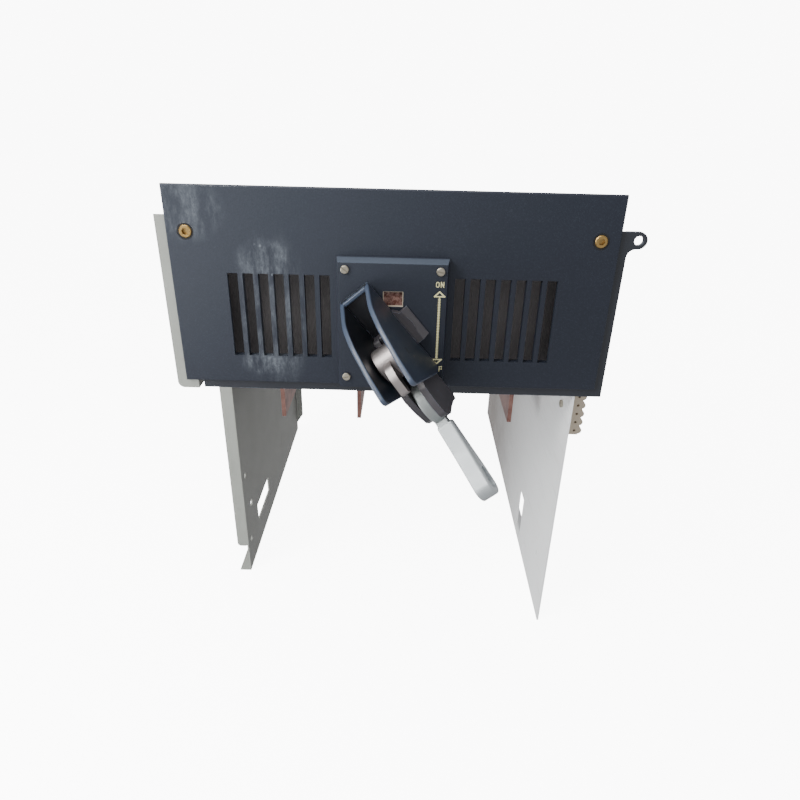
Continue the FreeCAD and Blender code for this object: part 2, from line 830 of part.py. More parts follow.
def oval(x, z, grow):
    """Upright oval block round a letter's cell, on the escutcheon face."""
    left = x - grow
    right = x + letter_width + grow
    radius = (right - left) / 2 - 0.01
    corners = [(left, z - grow, radius), (right, z - grow, radius)]
    corners += [(right, z + letter_height + grow, radius), (left, z + letter_height + grow, radius)]
    face = rounded_face(corners, lambda a, b: V(a, face_y - mark_height, b))
    return face.extrude(V(0, mark_height, 0))


def letter(name, x, z):
    """Plain capital letter drawn with strokes in a cell that starts at (x, z)."""
    w = letter_width
    h = letter_height
    if name == "O":
        return oval(x, z, letter_stroke / 2).cut(oval(x, z, -letter_stroke / 2))
    if name == "N":
        return stroke([(x, z), (x, z + h), (x + w, z), (x + w, z + h)], letter_stroke)
    stem = stroke([(x, z), (x, z + h), (x + w, z + h)], letter_stroke)
    return stem.fuse(stroke([(x, z + h / 2), (x + w, z + h / 2)], letter_stroke))


def word(letters, x, z):
    """Letters in a row, centred on x."""
    step = letter_width + letter_gap
    first = x - (len(letters) - 1) * step / 2 - letter_width / 2
    return [letter(name, first + i * step, z) for i, name in enumerate(letters)]


def arrow_head(x, tip, foot):
    """Outlined triangle pointing from its foot to its tip."""
    left = (x - arrow_half_width, foot)
    ring = [left, (x, tip), (x + arrow_half_width, foot), left]
    return stroke(ring, arrow_stroke)


def make_scale_marks():
    """ON and OFF words with a two-headed arrow between them."""
    x = plate_screw_places()[1][0]
    top = up(arrow_top_up) - arrow_length
    bottom = up(arrow_bottom_up) + arrow_length
    marks = word("ON", x, up(on_up)) + word("OFF", x, up(off_up))
    shaft = stroke([(x, bottom + arrow_stroke), (x, top - arrow_stroke)], arrow_shaft)
    count = int((top - bottom - 2 * arrow_stroke) / tick_pitch)
    ticks = []
    for i in range(count):
        z = bottom + arrow_stroke + (i + 0.5) * tick_pitch
        ticks.append(stroke([(x - tick_half, z), (x + tick_half, z)], tick_stroke))
    marks.append(shaft.fuse(ticks))
    marks.append(arrow_head(x, up(arrow_top_up), top))
    marks.append(arrow_head(x, up(arrow_bottom_up), bottom))
    return marks


# ---------------------------------------------------------------- handle
def make_handle_hub():
    """Hub under the handle: a broad plate with sloped sides and a neck into the escutcheon."""
    low = hub_bottom_v
    high = hub_top_v
    section = [V(-hub_near, -hub_half, low), V(-hub_near, hub_half, low)]
    section += [V(-hub_near, hub_half, low + hub_edge)]
    section += [V(-hub_near, hub_half - hub_bevel, high), V(-hub_near, hub_bevel - hub_half, high)]
    section += [V(-hub_near, -hub_half, low + hub_edge)]
    wings = prism(section, V(hub_near + hub_far, 0, 0))
    disc = rod(hub_disc_r, hub_depth, V(0, 0, low), Z_AXIS)
    neck = rod(neck_r, low - neck_base_v, V(0, 0, neck_base_v), Z_AXIS)
    hub = wings.fuse([disc, neck]).cut(hood_outer())
    return handle_to_world(hub.cut(shaft_bore()))


def shaft_bore():
    """Cutter for the drive shaft's end, in handle axes."""
    return rod(drive_shaft_r, hub_top_v + shaft_end, V(0, 0, 0), Z_AXIS)


def hood_outer():
    """The hood's outer block: low at the tail, rising steeply, then leaning out to the tip."""
    low = hub_bottom_v + hub_depth / 2
    corners = [(-66.2, low, 0), (-54, 81, 70), (-38, 105, 55), (-10, 130.5, 90), (18.5, 149, 7)]
    corners += [(60, 47, 0), (62, low + 6, 0), (58, low, 0)]
    return side_profile(corners, -hood_half_width, hood_half_width)


def hood_lip():
    """Low rounded lip across the tail end of the hood's floor."""
    start = hood_tail_u
    top = hub_top_v + hood_lip_height
    end = start + hood_lip_width
    corners = [(start, hub_top_v, 0), (start, top, hood_lip_round), (end, top, hood_lip_round)]
    corners += [(end, hub_top_v, 0)]
    return side_profile(corners, -hood_inner, hood_inner)


def make_handle_hood():
    """Trough that shrouds the lever's root: a floor and two deep walls, open in front."""
    outer = hood_outer()
    trough = box(-2 * hub_half, 2 * lever_pivot_g, -hood_inner, hood_inner, hub_top_v, 2 * lever_end_g)
    hood = outer.cut(trough)
    rims = [e for e in hood.Edges
            if e.CenterOfMass.z > 2 * hub_top_v and abs(e.tangentAt(e.FirstParameter).y) < 0.5]
    hood = hood.makeFillet(hood_rim_round, rims)
    hood = hood.fuse(hood_lip())
    u, v = grip_to_handle(latch_g, latch_n)
    hood = hood.cut(cross_rod(latch_pin_r, u, v))
    return handle_to_world(hood.cut(shaft_bore()))


def make_handle_fork():
    """Dark casting in the hood: a floor web and two cheeks that carry the lever."""
    low = hub_top_v
    heel = [(93, 70, 14), (98, 50, 10), (103, 37, 5), (99, low + 1, 2), (90, low, 0)]
    root = [(-12, low, 0), (-12, low + 18, 4), (14, 60, 12), (29, 90, 18)]
    left = root + [(42, 103.5, 10), (62, 102, 40), (82, 95, 5), (90, 84, 10)] + heel
    right = root + [(42, 106, 10), (60, 112.5, 30), (78, 113, 9), (88, 97, 14)] + heel
    middle = [(-12, low, 0), (-12, low + 12, 3), (90, low + 12, 0), (90, low, 0)]
    left_cheek = side_profile(left, -fork_half_width, -fork_slot_half)
    right_cheek = side_profile(right, fork_slot_half, fork_half_width)
    body = left_cheek.fuse([right_cheek, side_profile(middle, -fork_slot_half, fork_slot_half)])
    u, v = grip_to_handle(lever_pivot_g, lever_pivot_n)
    body = body.cut(cross_rod(lever_pin_r, u, v))
    u, v = grip_to_handle(latch_g, latch_n)
    body = body.cut(cross_rod(latch_r + latch_gap, u, v))
    return handle_to_world(body.cut(shaft_bore()))


def make_release_latch():
    """Steel rocker: a broad round hub with a thin thumb bar that follows the hood's rim."""
    hub = rod(latch_r, 2 * latch_half_width, V(latch_g, -latch_half_width, latch_n), Y_AXIS)
    rims = [e for e in hub.Edges if e.Closed]
    hub = hub.makeFillet(latch_round, rims)
    bar = [(latch_g, latch_n + 12, 0), (latch_g + 3, latch_n + latch_r - 0.5, 0), (61, 99.5, 12)]
    bar += [(74, 100.5, 20), (91, 95, 1.5), (91.5, 86.5, 1.5), (74, 88, 10), (latch_g + 16, latch_n, 0)]
    thumb_bar = side_profile(bar, -latch_bar_half, latch_bar_half)
    latch = hub.fuse(thumb_bar)
    return grip_to_world(latch.cut(cross_rod(latch_pin_r + running_fit, latch_g, latch_n)))


def make_latch_pin():
    """Pin across the hood that the release latch rocks on."""
    pin = rod(latch_pin_r, 2 * hood_half_width, V(latch_g, -hood_half_width, latch_n), Y_AXIS)
    return grip_to_world(pin)


def make_lever_pin():
    """Pin across the fork that the lever folds on."""
    pin = rod(lever_pin_r, 2 * fork_half_width, V(lever_pivot_g, -fork_half_width, lever_pivot_n), Y_AXIS)
    return grip_to_world(pin)


def make_lever():
    """Cast aluminium lever: round lug, short neck and a flat grip that deepens to an eye."""
    n = lever_pivot_n
    lug = rod(lug_r, 2 * lug_half_width, V(lever_pivot_g, -lug_half_width, n), Y_AXIS)
    lug = lug.makeFillet(lug_round, [e for e in lug.Edges if e.Closed])
    neck = box(lever_pivot_g, lever_root_g + 4, -lug_half_width, lug_half_width, n - 6, n + 6)
    end = lever_end_g
    grip = [(lever_root_g, n + 6.2, 4), (lever_root_g + 35, n + 8.4, 120), (end - 31, n + 11.8, 60)]
    grip += [(end, n + 16.5, 13), (end, n - 15, 13), (end - 31, n - 15, 60)]
    grip += [(lever_root_g + 35, n - 11, 120), (lever_root_g, n - 7, 4)]
    low = lever_shift - lever_half_width
    high = lever_shift + lever_half_width
    body = side_profile(grip, low, high)
    rims = [e for e in body.Edges if min(abs(e.CenterOfMass.y - low), abs(e.CenterOfMass.y - high)) < 0.01]
    body = body.makeFillet(lever_edge_round, rims)
    eye = [(end - 33, n + 4, 3.5), (end - 8, n + 11.5, 7), (end - 5.5, n - 10.5, 7), (end - 33, n - 4, 3.5)]
    body = body.cut(side_profile(eye, -2 * lever_half_width, 2 * lever_half_width))
    lever = body.fuse([lug, neck])
    return grip_to_world(lever.cut(cross_rod(lever_pin_r + running_fit, lever_pivot_g, n)))


def make_indicator_disc():
    """Two-colour disc on the hub's neck, seen through the window."""
    disc = rod(indicator_r, indicator_thickness, V(0, 0, indicator_v), Z_AXIS)
    return handle_to_world(disc.cut(rod(neck_r, hub_bottom_v, V(0, 0, 0), Z_AXIS)))


# ---------------------------------------------------------------- drive and rotor
def make_drive_shaft():
    """Round steel shaft from the handle back to the gear."""
    top = hub_top_v + shaft_end
    rear = rotor_back - gear_start
    return rod(drive_shaft_r, top + rear, V(0, front_y - top, axis_z), Y_AXIS)


def bevel_blank():
    """Mitre gear on +Z with its cone's tip at the origin, teeth cut below the cone."""
    far = gear_start + gear_face
    cone = Part.makeCone(gear_start - gear_gap, far - gear_gap, gear_face, V(0, 0, gear_start), Z_AXIS)
    hub = rod(gear_hub_r, gear_hub_length, V(0, 0, far), Z_AXIS)
    cutters = []
    for i in range(gear_teeth):
        cutter = box(-groove_width / 2, groove_width / 2, 0, 2 * groove_depth, -gear_gap, 2 * gear_face)
        cutter.rotate(V(0, 0, 0), X_AXIS, -45)
        cutter.translate(V(0, gear_start - gear_gap - groove_depth, gear_start))
        cutter.rotate(V(0, 0, 0), Z_AXIS, 360.0 * i / gear_teeth)
        cutters.append(cutter)
    return cone.fuse(hub).cut(cutters)


def make_drive_gear():
    """Mitre gear on the rear end of the drive shaft."""
    gear = bevel_blank()
    gear = gear.cut(rod(drive_shaft_r, rotor_back, V(0, 0, 0), Z_AXIS))
    gear.rotate(V(0, 0, 0), X_AXIS, 90)
    gear.translate(V(0, axis_y, axis_z))
    return gear


def make_rotor_gear():
    """Mitre gear fixed on the rotor."""
    gear = bevel_blank()
    gear = gear.cut(rod(rotor_r, rotor_back, V(0, 0, 0), Z_AXIS))
    gear.rotate(V(0, 0, 0), Y_AXIS, 90)
    gear.translate(V(0, axis_y, axis_z))
    return gear


def rotor_ends():
    """X of the insulating rotor's two ends."""
    inset = bearing_width + rotor_end_gap
    return left_web_x + inset, right_web_x - inset


def contact_bar(x0, reach, width):
    """Flat bar across the rotor with round tips, standing up in the open position."""
    r = width / 2
    bar = box(x0, x0 + contact_thickness, axis_y - r, axis_y + r, axis_z - reach + r, axis_z + reach - r)
    ends = (axis_z - reach + r, axis_z + reach - r)
    tips = [rod(r, contact_thickness, V(x0, axis_y, z), X_AXIS) for z in ends]
    return bar.fuse(tips)


def make_moving_contact(index):
    """Pair of copper bars that straddles one pole's fixed blades."""
    x = pole_x(index)
    return [contact_bar(x + contact_inner, contact_reach, contact_width),
            contact_bar(x - contact_outer, contact_reach, contact_width)]


def make_rotor():
    """Insulating rotor that carries the four pairs of bars."""
    x0, x1 = rotor_ends()
    rotor = rod(rotor_r, x1 - x0, V(x0, axis_y, axis_z), X_AXIS)
    half = contact_width / 2
    cuts = []
    for i in range(pole_count):
        for left in (pole_x(i) + contact_inner, pole_x(i) - contact_outer):
            cuts.append(box(left, left + contact_thickness, axis_y - half, axis_y + half,
                            axis_z - 2 * rotor_r, axis_z + 2 * rotor_r))
    cuts.append(rod(rotor_stub_r, rotor_stub_depth, V(x0, axis_y, axis_z), X_AXIS))
    cuts.append(rod(rotor_stub_r, rotor_stub_depth, V(x1, axis_y, axis_z), -X_AXIS))
    return rotor.cut(cuts)


def make_rotor_stubs():
    """Steel stub shafts in the rotor's two ends."""
    x0, x1 = rotor_ends()
    length = rotor_stub_depth + x0 - inside_left
    left = rod(rotor_stub_r, length, V(inside_left, axis_y, axis_z), X_AXIS)
    right = rod(rotor_stub_r, length, V(inside_right, axis_y, axis_z), -X_AXIS)
    return [left, right]


def make_rotor_bearings():
    """Flanged bearing blocks on the inner faces of the webs."""
    blocks = []
    for x in (left_web_x, right_web_x - bearing_width):
        start = V(x, axis_y, axis_z)
        block = rod(bearing_flange_r, bearing_width, start, X_AXIS)
        blocks.append(block.cut(rod(rotor_stub_r + running_fit, bearing_width, start, X_AXIS)))
    return blocks


def make_gear_bracket():
    """Upright steel plate that carries the drive shaft in front of the gear."""
    y0 = back(gear_bracket_back)
    y1 = y0 + gear_bracket_sheet
    left = bay_left_x + gear_bracket_inset
    right = bay_right_x - gear_bracket_inset
    upright = box(left, right, y0, y1, base_top, axis_z + gear_bracket_rise)
    foot = box(left, right, y0 - gear_bracket_foot, y1, base_top, base_top + gear_bracket_sheet)
    return upright.fuse(foot).cut(through_hole(drive_shaft_r + bush_wall, V(0, y0, axis_z), Y_AXIS))


def bush(y0, length):
    """Brass bush for the drive shaft."""
    start = V(0, y0, axis_z)
    outer = rod(drive_shaft_r + bush_wall, length, start, Y_AXIS)
    return outer.cut(rod(drive_shaft_r + running_fit, length, start, Y_AXIS))


def make_drive_bushes():
    """Bushes in the cover and in the gear bracket."""
    rear = back(gear_bracket_back) + gear_bracket_sheet / 2 - rear_bush_length / 2
    return [bush(front_y, front_bush_length), bush(rear, rear_bush_length)]


# ---------------------------------------------------------------- poles
def make_front_blade(index):
    """Copper blade: a broad tongue below the base and a contact post above it."""
    x = pole_x(index) - blade_thickness / 2
    y0 = back(front_blade_front_back)
    post_rear = axis_y - post_gap
    post_front = post_rear - post_depth
    post_top = axis_z + post_top_above_axis
    shoulder = up(front_blade_top_up)
    outline = [(y0, up(-blade_drop)), (post_rear, up(-blade_drop)), (post_rear, post_top)]
    outline += [(post_front, post_top), (post_front - post_slope, shoulder), (y0, shoulder)]
    return web(outline, x, x + blade_thickness)


def make_rear_terminal(index):
    """Copper bar: a contact post, and behind it an upright palm drilled for the cable lug."""
    x = pole_x(index) - blade_thickness / 2
    near = axis_y + post_gap
    tail = back(rear_terminal_back)
    low = base_top - base_groove
    post_top = axis_z + post_top_above_axis
    palm_top = up(palm_top_up)
    outline = [(near, low), (back(base_rear_back), low), (back(base_rear_back), base_top), (tail, base_top)]
    outline += [(tail, palm_top), (near + post_depth + post_slope, palm_top)]
    outline += [(near + post_depth, post_top), (near, post_top)]
    bar = web(outline, x, x + blade_thickness)
    palm = box(x, x + palm_width, tail - blade_thickness, tail, base_top, palm_top)
    hole = through_hole(terminal_hole_r, V(palm_middle(index), tail, up(palm_hole_up)), Y_AXIS)
    return bar.fuse(palm).cut(hole)


def palm_middle(index):
    """X of a palm's bolt hole, midway between the bar and the palm's free edge."""
    return pole_x(index) + palm_width / 2


def make_insulating_base():
    """Moulded board on the rails, slotted and grooved for the poles."""
    y0 = back(base_front_back)
    y1 = back(base_rear_back)
    board = box(inside_left, inside_right, y0, y1, base_bottom, base_top)
    cuts = []
    for i in range(pole_count):
        x = pole_x(i) - blade_thickness / 2
        cuts.append(box(x, x + blade_thickness, back(front_blade_front_back), axis_y - post_gap,
                        base_bottom - 1, base_top + 1))
        cuts.append(box(x, x + blade_thickness, axis_y + post_gap, y1 + 1,
                        base_top - base_groove, base_top + 1))
    return board.cut(cuts)


def chute_places():
    """Y and Z limits of an arc chute."""
    y0 = axis_y + post_gap - chute_front_gap
    return y0, y0 + chute_length, base_top, axis_z + contact_reach - 1


def make_arc_chute(index):
    """Insulating U-shaped housing round the rear post."""
    y0, y1, z0, z1 = chute_places()
    x = pole_x(index)
    block = box(x - chute_half, x + chute_half, y0, y1, z0, z1)
    hollow = box(x - chute_inner_half, x + chute_inner_half, y0 - 1, y1 - chute_cheek, z0 - 1, z1 + 1)
    gate = box(x - blade_thickness, x + blade_thickness, y1 - 2 * chute_cheek, y1 + 1,
               z0 - 1, up(chute_gate_up))
    return block.cut([hollow, gate])


def make_arc_plates():
    """Steel splitter plates in the four chutes."""
    y0, y1, z0, z1 = chute_places()
    plates = []
    first = axis_z + post_top_above_axis + arc_plate_gap
    pitch = (z1 - arc_plate_top_gap - first) / (arc_plate_count - 1)
    for i in range(pole_count):
        x = pole_x(i)
        for k in range(arc_plate_count):
            z = first + k * pitch
            plates.append(box(x - chute_inner_half, x + chute_inner_half,
                              axis_y + contact_reach + arc_plate_gap, y1 - chute_cheek,
                              z, z + arc_plate_thickness))
    return plates


def make_phase_barriers():
    """Insulating sheets between the poles and beside the gears."""
    first = (pole_x(0) + pole_x(1)) / 2
    last = (pole_x(2) + pole_x(3)) / 2
    half = barrier_thickness / 2
    sheets = []
    for x in (first, bay_left_x, bay_right_x, last):
        barrier = box(x - half, x + half, back(base_front_back + barrier_inset),
                      back(base_rear_back - barrier_inset), base_top, base_top + barrier_height)
        sheets.append(barrier.cut(through_hole(rotor_r + barrier_hole_gap, V(x, axis_y, axis_z), X_AXIS)))
    return sheets


# ---------------------------------------------------------------- terminal strip
def make_terminal_strip():
    """Pale nylon strip of screw terminals on the right web's outer face."""
    y0 = back(strip_centre_back - strip_width_y / 2)
    y1 = y0 + strip_width_y
    z0 = up(-strip_bottom_drop)
    z1 = z0 + strip_ways * strip_pitch
    x1 = right_web_out + strip_depth_x
    body = box(right_web_out, x1, y0, y1, z0, z1)
    lobes = []
    cuts = []
    for i in range(strip_ways):
        z = z0 + (i + 0.5) * strip_pitch
        lobes.append(rod(strip_lobe_r, strip_width_y, V(x1, y0, z), Y_AXIS))
        cuts.append(rod(strip_wire_r, strip_width_y + 2, V(x1 - strip_lobe_r, y0 - 1, z), Y_AXIS))
        outer = x1 + strip_lobe_r
        for y in (y0 + strip_head_inset, y1 - strip_head_inset):
            cuts.append(rod(strip_head_r, strip_head_depth, V(outer, y, z), -X_AXIS))
    for height in strip_screw_ups():
        place = V(right_web_out, back(strip_centre_back), up(height))
        cuts.append(rod(screw_r, strip_screw_grip, place, X_AXIS))
    return body.fuse(lobes).cut(cuts)


def make_strip_screws():
    """Two bright pan-head screws on the right web's inner face."""
    screws = []
    for number, height in enumerate(strip_screw_ups()):
        centre = V(right_web_x, back(strip_centre_back), up(height))
        head = slotted_head(strip_screw_head_r, strip_screw_head_height, plate_screw_round, 40 + 70 * number)
        head.rotate(V(0, 0, 0), Y_AXIS, -90)
        head.translate(centre)
        screws.append(head.fuse(rod(screw_r, sheet + strip_screw_grip, centre, X_AXIS)))
    return screws


# ---------------------------------------------------------------- write the nodes
save("left_side_plate", make_left_side_plate())
save("right_side_plate", make_right_side_plate())
save("left_bracket", make_left_bracket())
save("bracket_spacers", make_bracket_spacers())
save("bracket_bolts", make_bracket_bolts())
save("cover_frame", make_cover_frame())
save("inner_shield", make_inner_shield())
save("frame_tab_bolts", make_tab_bolts())
save("front_rail", make_rail(rail_middles()[0]))
save("rear_rail", make_rail(rail_middles()[1]))
save("rail_bolts", make_rail_bolts())
save("front_cover", make_front_cover())
save("cover_screw_left", make_cover_screw(-1))
save("cover_screw_right", make_cover_screw(1))
save("cover_screw_grommets", make_grommets())
save("escutcheon", make_escutcheon())
save("escutcheon_screws", make_escutcheon_screws())
save("window_frame", make_window_frame())
save("scale_marks", make_scale_marks())
save("handle_hub", make_handle_hub())
save("handle_hood", make_handle_hood())
save("handle_fork", make_handle_fork())
save("release_latch", make_release_latch())
save("latch_pin", make_latch_pin())
save("lever", make_lever())
save("lever_pin", make_lever_pin())
save("indicator_disc", make_indicator_disc())
save("drive_shaft", make_drive_shaft())
save("drive_gear", make_drive_gear())
save("rotor_gear", make_rotor_gear())
save("rotor", make_rotor())
save("rotor_stubs", make_rotor_stubs())
save("rotor_bearings", make_rotor_bearings())
save("gear_bracket", make_gear_bracket())
save("drive_bushes", make_drive_bushes())
save("insulating_base", make_insulating_base())
for pole in range(pole_count):
    label = str(pole + 1)
    save("front_blade_" + label, make_front_blade(pole))
    save("rear_terminal_" + label, make_rear_terminal(pole))
    save("moving_contact_" + label, make_moving_contact(pole))
    save("arc_chute_" + label, make_arc_chute(pole))
save("arc_plates", make_arc_plates())
save("phase_barriers", make_phase_barriers())
save("terminal_strip", make_terminal_strip())
save("terminal_strip_screws", make_strip_screws())
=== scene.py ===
import json
import math

import bpy
import numpy as np
from mathutils import Matrix, Vector


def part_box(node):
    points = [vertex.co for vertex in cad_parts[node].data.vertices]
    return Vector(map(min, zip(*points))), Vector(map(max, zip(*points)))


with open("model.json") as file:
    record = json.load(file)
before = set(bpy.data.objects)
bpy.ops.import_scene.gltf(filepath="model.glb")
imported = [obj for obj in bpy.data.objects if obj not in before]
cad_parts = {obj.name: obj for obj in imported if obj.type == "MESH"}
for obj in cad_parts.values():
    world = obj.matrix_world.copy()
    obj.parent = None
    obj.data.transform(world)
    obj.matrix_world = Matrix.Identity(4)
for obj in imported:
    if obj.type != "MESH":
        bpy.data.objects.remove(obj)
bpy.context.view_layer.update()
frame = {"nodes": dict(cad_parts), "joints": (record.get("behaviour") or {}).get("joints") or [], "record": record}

# ---------------------------------------------------------------- places read from the frame
cover_low, cover_high = [np.array(p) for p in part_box("front_cover")]
joints = {joint["name"]: joint for joint in frame["joints"]}
mm = 0.001
hub_point = tuple(joints["handle_turn"]["pos_m"])
latch_axis = tuple(joints["latch_press"]["axis"])
lever_pivot = tuple(joints["lever_fold"]["pos_m"])


# ---------------------------------------------------------------- shader expressions
class Value:
    """One float socket of a node tree; arithmetic on it adds Math nodes."""

    def __init__(self, look, socket):
        self.look = look
        self.socket = socket

    def _math(self, operation, *others):
        return self.look.node("ShaderNodeMath", {"operation": operation},
                              {i: v for i, v in enumerate((self,) + others)})

    def __add__(self, other):
        return self._math("ADD", other)

    __radd__ = __add__

    def __sub__(self, other):
        return self._math("SUBTRACT", other)

    def __rsub__(self, other):
        return self * -1.0 + other

    def __mul__(self, other):
        return self._math("MULTIPLY", other)

    __rmul__ = __mul__

    def __truediv__(self, other):
        return self._math("DIVIDE", other)

    def __abs__(self):
        return self._math("ABSOLUTE")

    def least(self, other):
        return self._math("MINIMUM", other)

    def most(self, other):
        return self._math("MAXIMUM", other)

    def ramp(self, low, high):
        """0 below low and 1 above high, smoothly between; low may be the larger."""
        return self.look.node("ShaderNodeMapRange", {"interpolation_type": "SMOOTHSTEP"},
                              {"Value": self, "From Min": low, "From Max": high,
                               "To Min": 0.0, "To Max": 1.0})


class Look:
    """A material under construction: one Principled surface and the nodes that feed it."""

    def __init__(self, name, **constants):
        self.material = bpy.data.materials.new(name)
        self.material.use_nodes = True
        self.tree = self.material.node_tree
        self.surface = self.tree.nodes["Principled BSDF"]
        for socket, value in constants.items():
            self.surface.inputs[socket.replace("_", " ")].default_value = value
        self.place = self.node("ShaderNodeTexCoord", {}, {}, "Object")

    def node(self, kind, settings, inputs, output=0):
        """Adds a node: settings are attributes, inputs are values or links by name or number."""
        made = self.tree.nodes.new(kind)
        stops = settings.pop("stops", None)
        for key, value in settings.items():
            setattr(made, key, value)
        if stops:
            elements = made.color_ramp.elements
            while len(elements) < len(stops):
                elements.new(0.5)
            for element, (position, colour) in zip(elements, stops):
                element.position = position
                element.color = colour
        for key, value in inputs.items():
            target = made.inputs[key]
            if isinstance(value, Value):
                self.tree.links.new(value.socket, target)
            else:
                target.default_value = value
        return Value(self, made.outputs[output])

    def feed(self, socket, value):
        """Links a value to one socket of the surface."""
        self.tree.links.new(value.socket, self.surface.inputs[socket])

    def axis(self, name):
        """One coordinate of the place on the object, in metres."""
        return self.node("ShaderNodeSeparateXYZ", {}, {0: self.place}, name)

    def noise(self, size, detail=3.0, rough=0.55, stretch=(1, 1, 1), shift=0.0):
        """Smooth noise from 0 to 1 with features about size metres wide."""
        where = self.node("ShaderNodeMapping", {},
                          {"Vector": self.place, "Location": (shift, shift, shift),
                           "Scale": stretch})
        return self.node("ShaderNodeTexNoise", {},
                         {"Vector": where, "Scale": 1.0 / size, "Detail": detail,
                          "Roughness": rough}, "Fac")

    def cells(self, size, shift=0.0):
        """Distance to the nearest of scattered points about size metres apart, in parts of that size."""
        where = self.node("ShaderNodeMapping", {},
                          {"Vector": self.place, "Location": (shift, shift, shift)})
        return self.node("ShaderNodeTexVoronoi", {"feature": "F1"},
                         {"Vector": where, "Scale": 1.0 / size}, "Distance")

    def mix(self, factor, first, second):
        """Blend of two colours."""
        return self.node("ShaderNodeMix", {"data_type": "RGBA"},
                         {0: factor, 6: first, 7: second}, 2)

    def bump(self, height, strength, distance):
        """Normal from a height, joined to the surface."""
        normal = self.node("ShaderNodeBump", {},
                           {"Strength": strength, "Distance": distance, "Height": height})
        self.feed("Normal", normal)

    def dot(self, vector, direction):
        """How far a vector reaches along a direction."""
        return self.node("ShaderNodeVectorMath", {"operation": "DOT_PRODUCT"},
                         {0: vector, 1: direction}, "Value")

    def normal(self, kind="Normal"):
        """Direction that the surface faces in the room; it doesn't turn back with a moved body."""
        return self.node("ShaderNodeNewGeometry", {}, {}, kind)

    def edge_wear_and_highlight(self, radius):
        """About 1 at sharp edges and 0 on flats, from the bevelled normal's difference."""
        rounded = self.node("ShaderNodeBevel", {"samples": 4}, {"Radius": radius})
        return (1.0 - self.dot(rounded, self.normal("True Normal"))).ramp(0.02, 0.2)


def srgb(r, g, b):
    """Linear colour from 0-255 display values."""
    def linear(c):
        c = c / 255.0
        return c / 12.92 if c <= 0.04045 else ((c + 0.055) / 1.055) ** 2.4
    return (linear(r), linear(g), linear(b), 1.0)


def near(look, centre, spread):
    """1 at a place (x, z) and 0 beyond a spread (x, z), as a soft ellipse."""
    x = (look.axis("X") - centre[0]) / spread[0]
    z = (look.axis("Z") - centre[1]) / spread[1]
    return (x * x + z * z).ramp(1.0, 0.15)


def navy_moulding():
    """Cover and escutcheon: dark navy with a fine leathery grain, painted paler toward the upper left as painted
    light.

    Chalky rubs lie round the left grille and in the upper left corner, with chipped top edges,
    and the escutcheon's left and upper bevels are painted lighter, as painted highlights.
    """
    deep, soft, lit_navy = srgb(25, 29, 39), srgb(32, 37, 48), srgb(52, 57, 66)
    speckle, chalk_white = srgb(54, 61, 73), srgb(146, 154, 162)
    bare_edge, bevel_highlight_blue = srgb(214, 218, 218), srgb(120, 132, 148)
    look = Look("navy_moulding", Roughness=0.5, Specular_IOR_Level=0.3)
    left = cover_low[0]
    top = cover_high[2]
    front = cover_low[1]
    x = look.axis("X")
    z = look.axis("Z")

    def patch(right, down, half_width, half_height):
        """Soft patch placed from the cover's upper left corner, in millimetres."""
        return near(look, (left + right * mm, top - down * mm), (half_width * mm, half_height * mm))

    broad = look.noise(0.16, 2.0)
    base = look.mix(broad, deep, soft)
    # painted light: the cover is painted paler toward the upper left, where the key light falls
    upper_left_light = x.ramp(cover_high[0], left) * z.ramp(cover_low[2] - 100 * mm, top)
    base = look.mix(upper_left_light * 0.75, base, lit_navy)
    base = look.mix(look.noise(0.0011, 2.0).ramp(0.5, 0.75) * 0.35, base, speckle)
    grille = patch(112, 145, 50, 110)
    above = patch(105, 78, 36, 26)
    below = patch(95, 205, 30, 18)
    corner = patch(22, 26, 50, 40)
    streak = look.noise(0.024, 5.0, 0.7, (1.5, 1, 0.5))
    fine = look.noise(0.004, 5.0, 0.8, (1.3, 1, 0.6), 3.0)
    haze = streak.ramp(0.38, 0.68) * (0.35 + fine.ramp(0.36, 0.7) * 0.65)
    chalk = (grille * 0.4 + above * 0.36 + below * 0.4 + corner * 0.45) * haze
    flecks = look.cells(0.012, shift=1.7).ramp(0.16, 0.05) * look.noise(0.05, 2.0).ramp(0.52, 0.66)
    chalk = (chalk + flecks * (grille + corner * 0.8 + 0.05) * 0.6).least(1.0)
    base = look.mix(chalk * 0.7, base, chalk_white)
    chips = look.edge_wear_and_highlight(0.9 * mm) * look.noise(0.007, 4.0, 0.7, shift=5.0).ramp(0.5, 0.62)
    chips = chips * x.ramp(left + 220 * mm, left + 20 * mm) * z.ramp(top - 60 * mm, top - 20 * mm)
    base = look.mix(chips, base, bare_edge)
    # painted highlight: the escutcheon's bevels that face left and up are painted a lighter steel blue
    facing_left = look.dot(look.normal(), (-1, 0, 0))
    facing_up = look.dot(look.normal(), (0, 0, 1))
    left_bevel = facing_left.ramp(0.1, 0.14) * facing_left.ramp(0.6, 0.4)
    bevel_highlight = left_bevel + facing_up.ramp(0.1, 0.14) * 0.45
    on_escutcheon = look.axis("Y").ramp(front - 2 * mm, front - 4 * mm)
    base = look.mix((bevel_highlight * on_escutcheon * 0.6).least(1.0), base, bevel_highlight_blue)
    look.feed("Base Color", base)
    look.feed("Roughness", 0.46 + broad * 0.12 + chalk * 0.3)
    grain = look.noise(0.0012, 3.0, 0.6) * 0.7 + look.noise(0.004, 2.0) * 0.3
    look.bump(grain, 0.35, 0.4 * mm)
    return look.material


def handle_axis(look, direction):
    """Distance in metres along a direction from the hub's middle; it turns with the handle."""
    return look.dot(look.place, direction) - float(np.dot(direction, hub_point))


